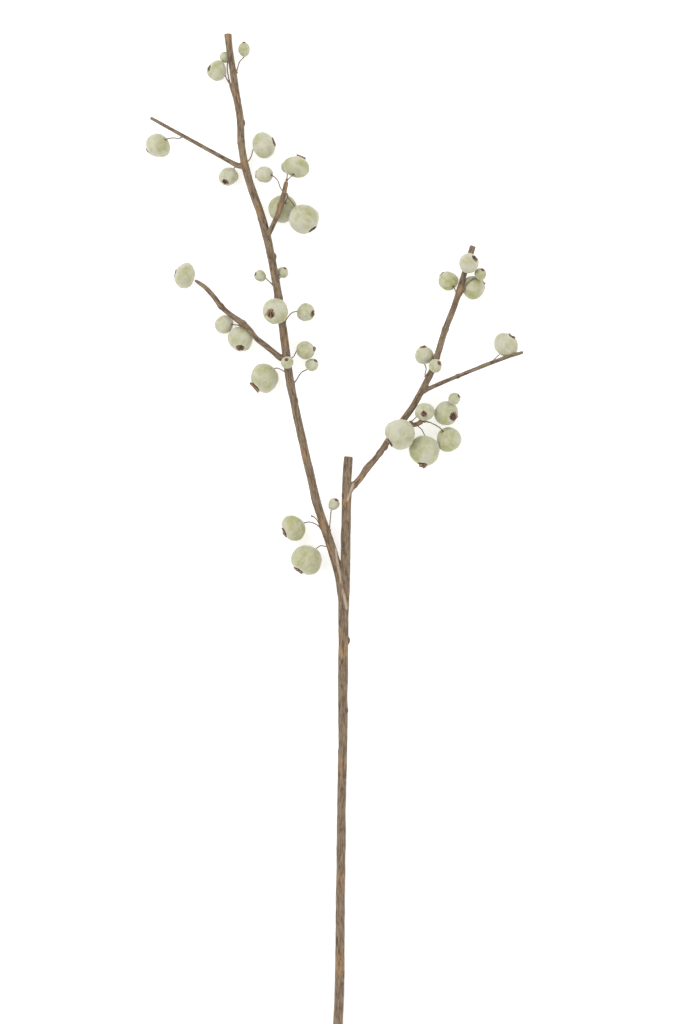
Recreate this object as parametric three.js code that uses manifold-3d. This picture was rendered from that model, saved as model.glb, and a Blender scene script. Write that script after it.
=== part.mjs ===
// Apple sprig: a cut leafless branch with thirty-eight small apples, lying on a flat surface.
// Millimetres, +Z up. X runs across the sprig, Y runs from the cut butt to the tips, and the
// surface it lies on is z = 0. The routes below are measured from the lower fork of the branch;
// the whole sprig is centred on its own bounding box at the end.
import * as THREE from 'three';
import { mergeVertices } from 'three/addons/utils/BufferGeometryUtils.js';
import Module from 'manifold-3d';

const wasm = await Module();
wasm.setup();

// Driving dimensions
const GAP = 0.3; // between pieces that touch
const BARK_STEP = 14; // between the rings of the stem and the leader
const TWIG_STEP = 9;
const TWIG_SIDES = 8; // limbs with this many sides or fewer are twigs
const STALK_STEP = 4.2;
const STALK_SIDES = 5;
const STALK_RADIUS = 0.42;
const STALK_FOOT_RADIUS = 0.6;
const STALK_HEAD_RADIUS = 0.55;
const SMALL_APPLE = 8; // apples narrower than this get fewer faces
const ROLL = 2.4; // radians that each apple is turned on about its own axis, from the last one
const REST = null; // lift of an apple that lies on the surface

// Apple outline from the eye to the stalk, as shares of the radius across and the half length
const SEPAL_RING = 2; // the point of the outline that stands out as five sepal tips
const SEPAL_WAVE = 0.2;
const CAVITY_DEPTH = 0.82;
const CAVITY_LIP = 0.93;
const CAVITY_WIDTH = 0.95; // mm added to a tenth of the radius
const OUTLINE = [
  [0, -0.84], [0.2, -0.86], [0.37, -1.04], [0.33, -0.93], [0.56, -0.86],
  [0.86, -0.52], [1, -0.02], [0.88, 0.5], [0.56, 0.85],
];

const BARK = { color: 0x84725c, roughness: 0.85, metalness: 0 };
const STALK = { color: 0x7a6350, roughness: 0.8, metalness: 0 };
const SKIN = { color: 0xc9d0b4, roughness: 0.7, metalness: 0 };

// Limbs of the branch: x, y, z, radius along the middle of each
const LIMBS = {
  stem: {
    sides: 10,
    route: [
      [-5, -364, 3.6, 3.5], [-3, -297, 4.6, 3.5], [-2.5, -249, 5.3, 3.3], [-2, -204, 6.1, 3.3],
      [-1.5, -160, 7.2, 3.2], [-0.5, -109.5, 8.5, 3.3], [-0.5, -73.5, 9.6, 3.5],
      [0, -18.5, 11.4, 3.8], [0.4, 4, 12.1, 4.2], [1.5, 32, 13, 3.5], [2, 63, 13.8, 3.5],
      [3, 100.5, 14.5, 3.4], [4, 114.5, 14.8, 3.3],
    ],
  },
  leader: {
    sides: 10,
    route: [
      [0, -8, 11.6, 3], [-3, 16, 12.5, 3.2], [-8, 36.5, 13.1, 3.4], [-14.5, 56, 13.5, 3.2],
      [-21.5, 78, 13.7, 3.1], [-25.5, 96, 13.8, 3], [-33, 128, 13.7, 3], [-39, 156, 13.6, 2.9],
      [-42.5, 172.5, 13.8, 3], [-45.5, 195.5, 14, 3], [-48.5, 218, 14, 2.9],
      [-52, 242, 13.6, 3], [-55.5, 263, 13.2, 2.9], [-59, 280, 12.8, 2.9],
      [-61.5, 291, 12.6, 3.1], [-66, 308, 12.4, 2.9], [-74, 331, 12, 2.8],
      [-79.5, 351, 11.6, 2.8], [-82, 366.5, 11.4, 2.6], [-82.5, 382.5, 11.2, 2.7],
      [-85, 400, 11, 2.6], [-88.5, 423, 11, 2.4], [-91, 438.5, 11.2, 2.4], [-92.5, 453, 11.4, 2.8],
    ],
  },
  upper_left_twig: {
    sides: 6,
    route: [
      [-79, 347, 11.6, 2.2], [-84, 347.5, 11.6, 1.9], [-91, 351, 11.6, 1.6],
      [-122, 368, 11.8, 1.4], [-154.5, 386, 12, 1.15],
    ],
  },
  short_twig: {
    sides: 8,
    route: [
      [-61.5, 290, 12.6, 2], [-56.5, 299, 18.8, 1.7], [-52.5, 307, 25.4, 1.9],
      [-50, 314.5, 28, 2.1], [-47.5, 323.5, 28, 1.8], [-45.5, 333, 27.6, 1.5],
    ],
  },
  lower_left_twig: {
    sides: 8,
    route: [
      [-45.5, 193, 14, 2.5], [-50, 193.5, 14.3, 2.4], [-55, 197.5, 14.6, 2.1],
      [-62.5, 203.5, 15.2, 2.1], [-70, 209.5, 15.9, 1.9], [-75, 216.5, 16.2, 1.7],
      [-80.5, 221, 15.6, 2.4], [-90, 228, 14.6, 1.9], [-98, 235, 14, 1.9],
      [-104, 243, 13.2, 1.8], [-111, 250.5, 12, 1.7], [-116.5, 254.4, 10.4, 1.4],
      [-118.9, 256, 9.2, 0.8],
    ],
  },
  right_branch: {
    sides: 8,
    route: [
      [2.5, 82, 14.2, 2.8], [5, 88.5, 14.3, 2.7], [8.5, 92, 14.3, 2.3], [14, 98, 14.2, 2.3],
      [18.5, 105, 14.1, 2.8], [23.5, 110.5, 14, 2.3], [29, 117.5, 13.9, 2.1],
      [34, 125, 13.8, 2.3], [49.5, 146.5, 13.7, 2.3], [55, 154, 13.8, 2.4],
      [62.5, 167.5, 14, 2.4], [70.5, 183, 14, 2.3], [74.5, 194, 14, 2.3],
      [81.5, 216.5, 14, 2.3], [89, 236, 14, 2.2], [96.5, 260.5, 14, 2.1], [103.5, 283, 14, 2.2],
    ],
  },
  right_twig: {
    sides: 6,
    route: [
      [61, 165, 14, 2], [67, 168.5, 14.1, 1.6], [91.5, 179, 14.4, 1.4],
      [119, 190, 15, 1.5], [131.5, 194.5, 15.7, 1.35], [143.5, 198, 16.1, 1.1],
    ],
  },
  cluster_spur: {
    sides: 6,
    route: [[46, 141.5, 13.7, 2], [52, 140, 14.6, 1.8], [57.5, 140.2, 15.3, 1.7], [63, 142.6, 16, 1.6]],
  },
  top_spur: {
    sides: 6,
    route: [[-86.5, 401, 10.8, 1.6], [-88.8, 407.5, 10.2, 1.3], [-90.4, 411.8, 9.8, 1.1]],
  },
  right_spur: {
    sides: 6,
    route: [[92, 243.5, 14, 1.8], [94, 246, 13.8, 1.6], [95.6, 248.4, 13.7, 1.4]],
  },
};

// Old bud scars and bumps in the bark: x, y, z, radius
const BUMPS = [
  [4.4, -32.5, 11.6, 1.5], [-3.4, -60, 10.2, 1.7], [3.1, -88, 9.4, 1.2], [-3.7, -122, 8.2, 1.5],
  [-24.2, 77, 13.8, 1.2], [-37, 160, 14, 1.6], [-54.2, 275, 14, 1.3], [-68, 304.5, 13, 1.3],
  [-79.4, 382, 11.5, 1.4], [-98.6, 233.6, 14.3, 1.3], [19.5, 108.5, 14.3, 1.3], [34.8, 121.5, 14, 1.2],
  [57, 154, 14, 1.3], [90.5, 234.5, 14.2, 1.2], [-50.8, 241, 14.4, 1.6],
];

// Apples: place and lift of the middle, radius across, half length, and the way the eye points
const APPLES = [
  { id: 1, x: -101.5, y: 424, lift: REST, across: 8.2, along: 7.7, eye: [-0.83, 0.22, 0.5] },
  { id: 2, x: -95, y: 435.5, lift: 5.2, across: 4.5, along: 4.4, eye: [-0.45, 0.85, -0.25] },
  { id: 3, x: -79.5, y: 440.5, lift: 11, across: 4.7, along: 6, eye: [-0.08, 0.95, 0.3] },
  { id: 4, x: -148.5, y: 363.5, lift: REST, across: 10, along: 9, eye: [-0.76, -0.58, 0.28] },
  { id: 5, x: -92.5, y: 339, lift: REST, across: 7.5, along: 7.2, eye: [-0.35, -0.66, 0.66] },
  { id: 6, x: -64, y: 364, lift: REST, across: 10.5, along: 9.2, eye: [0.95, 0.22, 0.2] },
  { id: 7, x: -63, y: 339.5, lift: 20, across: 6.9, along: 6.7, eye: [-0.93, 0.1, -0.35] },
  { id: 8, x: -37, y: 345.5, lift: 24, across: 10, along: 8.7, eye: [0.45, 0.75, -0.48] },
  { id: 9, x: -45.5, y: 346.5, lift: 12, across: 4.6, along: 4.5, eye: [-0.1, 0.75, -0.65] },
  { id: 10, x: -48.5, y: 312.5, lift: REST, across: 11.5, along: 11, eye: [-0.2, -0.45, -0.87] },
  { id: 11, x: -31, y: 303.5, lift: 26, across: 12.2, along: 11.6, eye: [0.58, -0.74, 0.34] },
  { id: 12, x: -127, y: 259.5, lift: REST, across: 10.2, along: 8.6, eye: [-0.92, 0.32, 0.22] },
  { id: 13, x: -95.5, y: 221, lift: REST, across: 7.4, along: 7.2, eye: [-0.95, 0.05, -0.3] },
  { id: 14, x: -82.5, y: 209, lift: REST, across: 9.9, along: 9, eye: [0.02, -0.84, 0.54] },
  { id: 15, x: -66.5, y: 259.5, lift: 11, across: 4.7, along: 4.9, eye: [-0.85, 0.32, 0.42] },
  { id: 16, x: -48.5, y: 262.5, lift: 8.6, across: 4.6, along: 4.6, eye: [0.4, 0.72, 0.55] },
  { id: 17, x: -54.5, y: 230, lift: 27, across: 10.2, along: 9.8, eye: [-0.37, -0.31, 0.87] },
  { id: 18, x: -30, y: 230, lift: 11.5, across: 7.4, along: 7, eye: [0.84, -0.18, 0.5] },
  { id: 19, x: -30.5, y: 200, lift: 12, across: 7.2, along: 7.4, eye: [0.97, 0.06, 0.2] },
  { id: 20, x: -25, y: 188.5, lift: 8.5, across: 5.2, along: 5.1, eye: [0.58, 0.62, 0.5] },
  { id: 21, x: -45, y: 189.5, lift: 23.2, across: 5, along: 5, eye: [-0.08, 0.8, 0.6] },
  { id: 22, x: -63.5, y: 177, lift: REST, across: 11.8, along: 11, eye: [-0.68, -0.66, 0.3] },
  { id: 23, x: -40, y: 57.5, lift: REST, across: 10.5, along: 9.2, eye: [-0.87, -0.41, 0.28] },
  { id: 24, x: -29.5, y: 32, lift: REST, across: 12.3, along: 11.8, eye: [-0.62, -0.72, 0.3] },
  { id: 25, x: -7.5, y: 76.5, lift: 13, across: 4.6, along: 5, eye: [0.42, 0.74, 0.5] },
  { id: 26, x: 100, y: 268.5, lift: 25.2, across: 8.2, along: 7.9, eye: [0.6, 0.53, 0.6] },
  { id: 27, x: 83.5, y: 255.5, lift: 12.5, across: 7.8, along: 7.6, eye: [-0.6, 0.7, -0.4] },
  { id: 28, x: 109.5, y: 260.5, lift: 19, across: 4.9, along: 4.5, eye: [0.36, 0.7, 0.6] },
  { id: 29, x: 104, y: 250.5, lift: REST, across: 9.8, along: 8.4, eye: [0.93, 0.2, -0.3] },
  { id: 30, x: 64.5, y: 196, lift: 11, across: 7.8, along: 7.2, eye: [-0.05, 0.93, 0.35] },
  { id: 31, x: 73.5, y: 187, lift: 22, across: 5.2, along: 5, eye: [0.6, 0.45, 0.66] },
  { id: 32, x: 130.5, y: 204.5, lift: REST, across: 10, along: 9.2, eye: [0.5, 0.72, 0.45] },
  { id: 33, x: 45, y: 132, lift: 28.6, across: 12.4, along: 12.2, eye: [-0.79, -0.55, 0.28] },
  { id: 34, x: 64.5, y: 150, lift: 22.5, across: 7.5, along: 7.2, eye: [-0.09, -0.28, 0.95] },
  { id: 35, x: 83, y: 149, lift: 14, across: 10.1, along: 9.6, eye: [0.5, -0.28, 0.82] },
  { id: 36, x: 88.5, y: 161, lift: 22, across: 4.9, along: 4.8, eye: [0.73, 0.45, 0.5] },
  { id: 37, x: 64.5, y: 119.5, lift: 15.8, across: 12.2, along: 11.8, eye: [-0.12, -0.96, 0.26] },
  { id: 38, x: 84.5, y: 128.5, lift: REST, across: 10.1, along: 9.6, eye: [0.55, -0.7, -0.45] },
];

// Stalks that grow from one bud: the bud's place and radius, and for each apple the points that
// its stalk passes on the way from the apple to the bud
const STALKS = [
  {
    bud: [-90.6, 412.6, 9.4, 1.1],
    ways: { 1: [[-94, 418.5, 9.2]], 2: [[-93.2, 427, 6.6], [-92.2, 419, 7.6]] },
  },
  { bud: [-85.9, 422, 11.8, 1.1], ways: { 3: [[-83, 431, 11.5], [-84.6, 426.4, 11.9]] } },
  { bud: [-128.6, 371.2, 10.6, 1.1], ways: { 4: [[-136.5, 370.2, 8.5], [-132, 369.6, 9.8]] } },
  {
    bud: [-79.3, 350, 8.6, 1.3],
    ways: { 5: [[-85.5, 348, 7.6]], 6: [[-74, 355.5, 8.4], [-76.3, 351.8, 7.6]] },
  },
  {
    bud: [-47.3, 324.6, 30, 1.6],
    ways: {
      7: [[-52.5, 334.3, 25.6], [-50.6, 329, 28.2], [-48.8, 326, 30]],
      10: [[-45.3, 319.5, 23], [-44.2, 322.8, 27.4], [-45.6, 324, 29.6]],
      11: [[-39, 314.6, 22], [-43.6, 320, 27], [-45.6, 322.8, 29.4]],
    },
  },
  { bud: [-45.2, 334.2, 27.4, 1.2], ways: { 8: [[-43.4, 335.6, 28.2]], 9: [[-45, 337.5, 22]] } },
  {
    bud: [-82.2, 219.6, 13.2, 1.3],
    ways: { 13: [[-86, 220.2, 10.6]], 14: [[-82.6, 219.9, 6.6], [-82.5, 220.2, 10.5]] },
  },
  {
    bud: [-56.4, 252.3, 11.4, 1.2],
    ways: { 15: [[-59.6, 255, 11.4]], 16: [[-52.6, 256, 8], [-54.8, 253.6, 9.2]] },
  },
  {
    bud: [-47, 222.4, 16, 1.3],
    ways: { 17: [[-48.2, 228.2, 17.7]], 18: [[-41, 230, 11.8], [-44.2, 226.5, 13.6]] },
  },
  {
    bud: [-43, 192.6, 15.4, 1.3],
    ways: { 19: [[-40, 194.6, 13.8]], 21: [[-42.6, 187.4, 17.6], [-41.4, 190.4, 16.4]] },
  },
  { bud: [-40.8, 172, 12.6, 1.1], ways: { 20: [[-34, 182, 8.8], [-37, 177.2, 10.4]] } },
  { bud: [-45.8, 182, 14.6, 1.1], ways: { 22: [[-53, 185.6, 12.2], [-48.6, 183.6, 14]] } },
  {
    bud: [-17.9, 57.4, 14.8, 1.3],
    ways: { 23: [[-27.5, 62.4, 11.6], [-22, 60.6, 13.8]] },
    bare: [[-26, 67.5, 17], [-23, 66, 16.8], [-20.6, 63, 16.2]],
  },
  { bud: [-12.2, 42.8, 14.2, 1.2], ways: { 24: [[-18.5, 43.4, 10.8], [-15, 43, 12.8]] } },
  { bud: [-11.3, 55.6, 14.8, 1.2], ways: { 25: [[-10.4, 66, 13.6], [-10.9, 61, 14.4]] } },
  {
    bud: [95.9, 248.8, 14.2, 1.4],
    ways: {
      26: [[95.3, 262, 19.4], [95.3, 254.5, 18.6]],
      28: [[104.4, 256.6, 18.4], [100.5, 254.6, 18.9], [97.4, 251.4, 17.4]],
      29: [],
    },
  },
  { bud: [90.6, 245, 15, 1.1], ways: { 27: [[89.3, 247.6, 15.6]] } },
  {
    bud: [65.7, 178.6, 15.4, 1.3],
    ways: { 30: [[66.2, 185, 11.4], [65.2, 181, 14]], 31: [[68.8, 183.4, 18], [66.6, 180.6, 17.2]] },
  },
  { bud: [119.4, 190.6, 13.6, 1.1], ways: { 32: [[122.5, 194.4, 7], [120, 191.8, 10.6]] } },
  {
    bud: [53.4, 142, 15.6, 1.3],
    ways: { 33: [[55.8, 140.6, 22], [54.4, 142.6, 18.6]], 34: [[60, 148.2, 13.8], [56.6, 144.8, 14.6]] },
  },
  {
    bud: [64.4, 143, 16, 1.5],
    ways: {
      35: [[74.5, 152, 6], [68, 146.5, 12]],
      36: [[85.6, 160.4, 14], [83.5, 158.6, 5.5], [77, 152.6, 3.6], [70, 147.5, 9]],
      37: [[64.8, 132, 13.6], [62.4, 136.6, 13.8], [59.6, 139.4, 12.8], [59.8, 142.8, 12.9], [62.6, 144.4, 14.8]],
      38: [[77.5, 137.2, 15.4], [70, 141.6, 16.4]],
    },
  },
];

const scale = (point, size) => new THREE.Vector3(...point).multiplyScalar(size);

/** A closed geometry as a solid that can be joined and cut. */
function solid(geometry) {
  geometry.deleteAttribute('normal');
  geometry.deleteAttribute('uv');
  const merged = mergeVertices(geometry, 1e-4);
  const mesh = new wasm.Mesh({
    numProp: 3,
    vertProperties: merged.getAttribute('position').array,
    triVerts: new Uint32Array(merged.getIndex().array),
  });
  mesh.merge();
  return new wasm.Manifold(mesh);
}

/** A solid as a geometry with flat faces. */
function geometryOf(body) {
  const { vertProperties, triVerts, numProp } = body.getMesh();
  const positions = [];
  for (let v = 0; v < vertProperties.length; v += numProp) {
    positions.push(...vertProperties.slice(v, v + 3));
  }
  const geometry = new THREE.BufferGeometry();
  geometry.setAttribute('position', new THREE.Float32BufferAttribute(positions, 3));
  geometry.setIndex([...triVerts]);
  geometry.computeVertexNormals();
  return geometry;
}

/** Moves the end point of a route straight on from its neighbour. */
function lengthen(end, neighbour, extra) {
  end.addScaledVector(end.clone().sub(neighbour).normalize(), extra);
}

/** A round rod along a route of [x, y, z, radius], its thickness changing from point to point. */
function rod(route, sides, step, extra = 0) {
  const points = route.map(([x, y, z]) => new THREE.Vector3(x, y, z));
  lengthen(points[0], points[1], extra);
  lengthen(points.at(-1), points.at(-2), extra);
  const path = new THREE.CatmullRomCurve3(points, false, 'centripetal');
  const steps = Math.max(2, Math.round(path.getLength() / step));
  const circle = new THREE.Shape().absarc(0, 0, 1, 0, 2 * Math.PI);
  const geometry = new THREE.ExtrudeGeometry(circle, {
    steps, extrudePath: path, curveSegments: sides / 2, bevelEnabled: false,
  });
  const stations = path.getSpacedPoints(steps).map((centre, i) => {
    const along = path.getUtoTmapping(i / steps) * (route.length - 1);
    const before = Math.min(Math.floor(along), route.length - 2);
    const radius = THREE.MathUtils.lerp(route[before][3], route[before + 1][3], along - before);
    return { centre, radius: radius + extra };
  });
  const positions = geometry.getAttribute('position');
  const corner = new THREE.Vector3();
  for (let v = 0; v < positions.count; v += 1) {
    corner.fromBufferAttribute(positions, v);
    const ring = stations.reduce((best, station) => (
      station.centre.distanceTo(corner) < best.centre.distanceTo(corner) ? station : best
    ));
    corner.sub(ring.centre).multiplyScalar(ring.radius).add(ring.centre);
    positions.setXYZ(v, corner.x, corner.y, corner.z);
  }
  return solid(geometry);
}

/** A small round swelling. */
function swelling([x, y, z, radius], extra = 0) {
  const ball = new THREE.SphereGeometry(radius + extra, 6, 4);
  ball.translate(x, y, z);
  return solid(ball);
}

/** The whole branch, its limbs and bumps grown into one piece. */
function branch(extra = 0) {
  const limbs = Object.values(LIMBS).map(({ sides, route }) => (
    rod(route, sides, sides > TWIG_SIDES ? BARK_STEP : TWIG_STEP, extra)
  ));
  const bumps = BUMPS.map((bump) => swelling(bump, extra));
  return [...limbs, ...bumps].reduce((whole, piece) => whole.add(piece));
}

/** Radius of the hollow that the stalk stands in, at its lip. */
const lipRadius = ({ across }) => 0.1 * across + CAVITY_WIDTH;

/** An apple about its own middle: +Y is the stalk end, -Y the eye with its ring of sepals. */
function appleGeometry({ across, along }) {
  const profile = OUTLINE.map(([r, h]) => new THREE.Vector2(r * across, h * along));
  profile.push(new THREE.Vector2(lipRadius({ across }), CAVITY_LIP * along));
  profile.push(new THREE.Vector2(0, CAVITY_DEPTH * along));
  const turns = across < SMALL_APPLE ? 10 : 15;
  const geometry = new THREE.LatheGeometry(profile, turns);
  const positions = geometry.getAttribute('position');
  const sepals = OUTLINE[SEPAL_RING][1] * along;
  for (let v = 0; v < positions.count; v += 1) {
    const [x, y, z] = [positions.getX(v), positions.getY(v), positions.getZ(v)];
    if (Math.abs(y - sepals) < 1e-3) {
      const spread = 1 + SEPAL_WAVE * Math.cos(5 * Math.atan2(x, z));
      positions.setXYZ(v, x * spread, y, z * spread);
    }
  }
  return geometryOf(solid(geometry));
}

/** One apple, turned so that its eye points where it should, and lying on the surface if it rests. */
function apple(spec) {
  const mesh = new THREE.Mesh(appleGeometry(spec), new THREE.MeshStandardMaterial(SKIN));
  mesh.name = `apple_${String(spec.id).padStart(2, '0')}`;
  const stalkWay = scale(spec.eye, -1).normalize();
  mesh.quaternion.setFromUnitVectors(new THREE.Vector3(0, 1, 0), stalkWay);
  mesh.rotateY(spec.id * ROLL);
  mesh.position.set(spec.x, spec.y, spec.lift ?? 0);
  if (spec.lift === REST) {
    mesh.updateMatrixWorld();
    mesh.position.z = -new THREE.Box3().setFromObject(mesh, true).min.z;
  }
  return mesh;
}

/** Route of one stalk: out of the apple's hollow, past the given points, into the bud. */
function stalkRoute(spec, mesh, way, bud) {
  const outward = scale(spec.eye, -1).normalize();
  const slope = ((CAVITY_LIP - CAVITY_DEPTH) * spec.along) / lipRadius(spec);
  const depth = CAVITY_DEPTH * spec.along + slope * STALK_HEAD_RADIUS + GAP;
  const head = mesh.position.clone().addScaledVector(outward, depth);
  const exit = mesh.position.clone().addScaledVector(outward, CAVITY_LIP * spec.along + 1.2);
  return [
    [...head, STALK_HEAD_RADIUS], [...exit, STALK_RADIUS],
    ...way.map((point) => [...point, STALK_RADIUS]), [...bud.slice(0, 3), STALK_FOOT_RADIUS],
  ];
}

/** The stalks that grow from one bud, with the bud, fitted against the bark. */
function stalks({ bud, ways, bare }, apples, bark) {
  const ids = Object.keys(ways);
  const routes = ids.map((id) => {
    const spec = APPLES.find((one) => one.id === Number(id));
    return stalkRoute(spec, apples[spec.id], ways[id], bud);
  });
  if (bare) {
    routes.push([...bare.map((point) => [...point, STALK_RADIUS]), [...bud.slice(0, 3), STALK_FOOT_RADIUS]]);
  }
  const grown = routes
    .map((route) => rod(route, STALK_SIDES, STALK_STEP))
    .reduce((whole, piece) => whole.add(piece), swelling(bud));
  const mesh = new THREE.Mesh(geometryOf(grown.subtract(bark)), new THREE.MeshStandardMaterial(STALK));
  const numbers = ids.map((id) => id.padStart(2, '0')).join('_');
  mesh.name = ids.length > 1 ? `stalks_${numbers}` : `stalk_${numbers}`;
  return mesh;
}

const sprig = new THREE.Group();
const wood = new THREE.Mesh(geometryOf(branch()), new THREE.MeshStandardMaterial(BARK));
wood.name = 'branch';
sprig.add(wood);

const apples = {};
for (const spec of APPLES) {
  apples[spec.id] = apple(spec);
  sprig.add(apples[spec.id]);
}

const barkWithGap = branch(GAP);
for (const group of STALKS) {
  sprig.add(stalks(group, apples, barkWithGap));
}

// The origin is the middle of the sprig's bounding box, on the surface that it lies on
sprig.updateMatrixWorld(true);
const box = new THREE.Box3().setFromObject(sprig, true);
sprig.position.set(-(box.min.x + box.max.x) / 2, -(box.min.y + box.max.y) / 2, -box.min.z);

export default sprig;
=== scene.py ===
import math
import random

import bmesh
import bpy
from mathutils import Matrix, Vector, kdtree, noise


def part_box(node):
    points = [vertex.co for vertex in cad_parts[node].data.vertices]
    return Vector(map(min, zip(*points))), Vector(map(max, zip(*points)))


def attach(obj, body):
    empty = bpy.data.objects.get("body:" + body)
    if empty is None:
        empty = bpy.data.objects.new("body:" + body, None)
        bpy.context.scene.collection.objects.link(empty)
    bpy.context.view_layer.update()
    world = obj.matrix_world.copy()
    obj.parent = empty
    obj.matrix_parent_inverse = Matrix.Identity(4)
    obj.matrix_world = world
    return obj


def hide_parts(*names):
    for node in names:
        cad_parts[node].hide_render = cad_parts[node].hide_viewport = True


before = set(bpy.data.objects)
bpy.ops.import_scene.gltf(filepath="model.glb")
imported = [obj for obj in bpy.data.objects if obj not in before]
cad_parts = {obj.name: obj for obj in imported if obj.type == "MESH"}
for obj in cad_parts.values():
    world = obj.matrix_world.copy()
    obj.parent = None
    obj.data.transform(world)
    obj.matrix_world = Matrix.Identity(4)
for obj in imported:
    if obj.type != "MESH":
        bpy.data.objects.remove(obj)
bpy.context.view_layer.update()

# The branch
# One grown piece of apple wood: a stem cut at the butt, a leader and a right branch that fork from
# it, and thin twigs and fruit spurs. Grey-brown bark runs over every fork, and bare wood shows only
# where an end was cut or snapped.

MM = 0.001
branch_lo, branch_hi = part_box("branch")
FORK = Vector((branch_hi.x - 143.75 * MM, branch_hi.y - 453.3 * MM, 0))  # the routes start here
WOOD_GRIT = 0.7 * MM  # mesh size of the finished wood
BARK_RELIEF = 0.055  # depth of the ridges in the bark, as a share of the limb's radius
BARK_LUMPS = 0.1  # depth of its slow swells, as the same share
FULLNESS = 0.2  # makes up for what the mesh of the wood lost in the making, in millimetres
SCAR_LENGTH = 2.1  # how far a bud scar is drawn out along its limb, in its own radius
SCAR_SUNK = 0.6  # how deep it sits, in the same measure

# Middle line of each limb from its root to its tip, in millimetres: x, y, z, radius
LIMBS = {
    "stem": [
        (-5, -364, 3.6, 3.5), (-3, -297, 4.6, 3.5), (-2.5, -249, 5.3, 3.3), (-2, -204, 6.1, 3.3),
        (-1.5, -160, 7.2, 3.2), (-0.5, -109.5, 8.5, 3.3), (-0.5, -73.5, 9.6, 3.5),
        (0, -18.5, 11.4, 3.8), (0.4, 4, 12.1, 4.2), (1.5, 32, 13, 3.5), (2, 63, 13.8, 3.5),
        (3, 100.5, 14.5, 3.4), (4, 114.5, 14.8, 3.3),
    ],
    "leader": [
        (0, -8, 11.6, 3), (-3, 16, 12.5, 3.2), (-8, 36.5, 13.1, 3.4), (-14.5, 56, 13.5, 3.2),
        (-21.5, 78, 13.7, 3.1), (-25.5, 96, 13.8, 3), (-33, 128, 13.7, 3), (-39, 156, 13.6, 2.9),
        (-42.5, 172.5, 13.8, 3), (-45.5, 195.5, 14, 3), (-48.5, 218, 14, 2.9),
        (-52, 242, 13.6, 3), (-55.5, 263, 13.2, 2.9), (-59, 280, 12.8, 2.9),
        (-61.5, 291, 12.6, 3.1), (-66, 308, 12.4, 2.9), (-74, 331, 12, 2.8),
        (-79.5, 351, 11.6, 2.8), (-82, 366.5, 11.4, 2.6), (-82.5, 382.5, 11.2, 2.7),
        (-85, 400, 11, 2.6), (-88.5, 423, 11, 2.4), (-91, 438.5, 11.2, 2.4), (-92.5, 453, 11.4, 2.8),
    ],
    "upper_left_twig": [
        (-79, 347, 11.6, 2.2), (-84, 347.5, 11.6, 1.9), (-91, 351, 11.6, 1.6),
        (-122, 368, 11.8, 1.4), (-154.5, 386, 12, 1.15),
    ],
    "short_twig": [
        (-61.5, 290, 12.6, 2), (-56.5, 299, 18.8, 1.7), (-52.5, 307, 25.4, 1.9),
        (-50, 314.5, 28, 2.1), (-47.5, 323.5, 28, 1.8), (-45.5, 333, 27.6, 1.5),
    ],
    "lower_left_twig": [
        (-45.5, 193, 14, 2.5), (-50, 193.5, 14.3, 2.4), (-55, 197.5, 14.6, 2.1),
        (-62.5, 203.5, 15.2, 2.1), (-70, 209.5, 15.9, 1.9), (-75, 216.5, 16.2, 1.7),
        (-80.5, 221, 15.6, 2.4), (-90, 228, 14.6, 1.9), (-98, 235, 14, 1.9),
        (-104, 243, 13.2, 1.8), (-111, 250.5, 12, 1.7), (-116.5, 254.4, 10.4, 1.4),
        (-118.9, 256, 9.2, 0.8),
    ],
    "right_branch": [
        (2.5, 82, 14.2, 2.8), (5, 88.5, 14.3, 2.7), (8.5, 92, 14.3, 2.3), (14, 98, 14.2, 2.3),
        (18.5, 105, 14.1, 2.8), (23.5, 110.5, 14, 2.3), (29, 117.5, 13.9, 2.1),
        (34, 125, 13.8, 2.3), (49.5, 146.5, 13.7, 2.3), (55, 154, 13.8, 2.4),
        (62.5, 167.5, 14, 2.4), (70.5, 183, 14, 2.3), (74.5, 194, 14, 2.3),
        (81.5, 216.5, 14, 2.3), (89, 236, 14, 2.2), (96.5, 260.5, 14, 2.1), (103.5, 283, 14, 2.2),
    ],
    "right_twig": [
        (61, 165, 14, 2), (67, 168.5, 14.1, 1.6), (91.5, 179, 14.4, 1.4),
        (119, 190, 15, 1.5), (131.5, 194.5, 15.7, 1.35), (143.5, 198, 16.1, 1.1),
    ],
    "cluster_spur": [(46, 141.5, 13.7, 2), (52, 140, 14.6, 1.8), (57.5, 140.2, 15.3, 1.7), (63, 142.6, 16, 1.6)],
    "top_spur": [(-86.5, 401, 10.8, 1.6), (-88.8, 407.5, 10.2, 1.3), (-90.4, 411.8, 9.8, 1.1)],
    "right_spur": [(92, 243.5, 14, 1.8), (94, 246, 13.8, 1.6), (95.6, 248.4, 13.7, 1.4)],
}
# Raised seams where the leader's wood closed over the stem, with a painted highlight: the bark is painted pale along
# each ridge: x, y, z, radius
SEAMS = {
    "leader_seam": [
        (-6, 41, 16, 0.5), (-4.4, 28, 16.1, 0.8), (-2.2, 17, 15.9, 0.9), (0.4, 4, 16.4, 0.8),
        (2.4, -6.5, 15.3, 0.6),
    ],
    "right_seam": [(3.2, 80, 17.6, 0.5), (5.6, 87, 16.9, 0.7), (7.6, 92.5, 16.4, 0.6)],
}
# Swellings where buds and shoots once stood: x, y, z, radius
BUD_SCARS = [
    (4.4, -32.5, 11.6, 1.5), (-3.4, -60, 10.2, 1.7), (3.1, -88, 9.4, 1.2), (-3.7, -122, 8.2, 1.5),
    (-24.2, 77, 13.8, 1.2), (-37, 160, 14, 1.6), (-54.2, 275, 14, 1.3), (-68, 304.5, 13, 1.3),
    (-79.4, 382, 11.5, 1.4), (-98.6, 233.6, 14.3, 1.3), (19.5, 108.5, 14.3, 1.3),
    (34.8, 121.5, 14, 1.2), (57, 154, 14, 1.3), (90.5, 234.5, 14.2, 1.2), (-50.8, 241, 14.4, 1.6),
]
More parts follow.
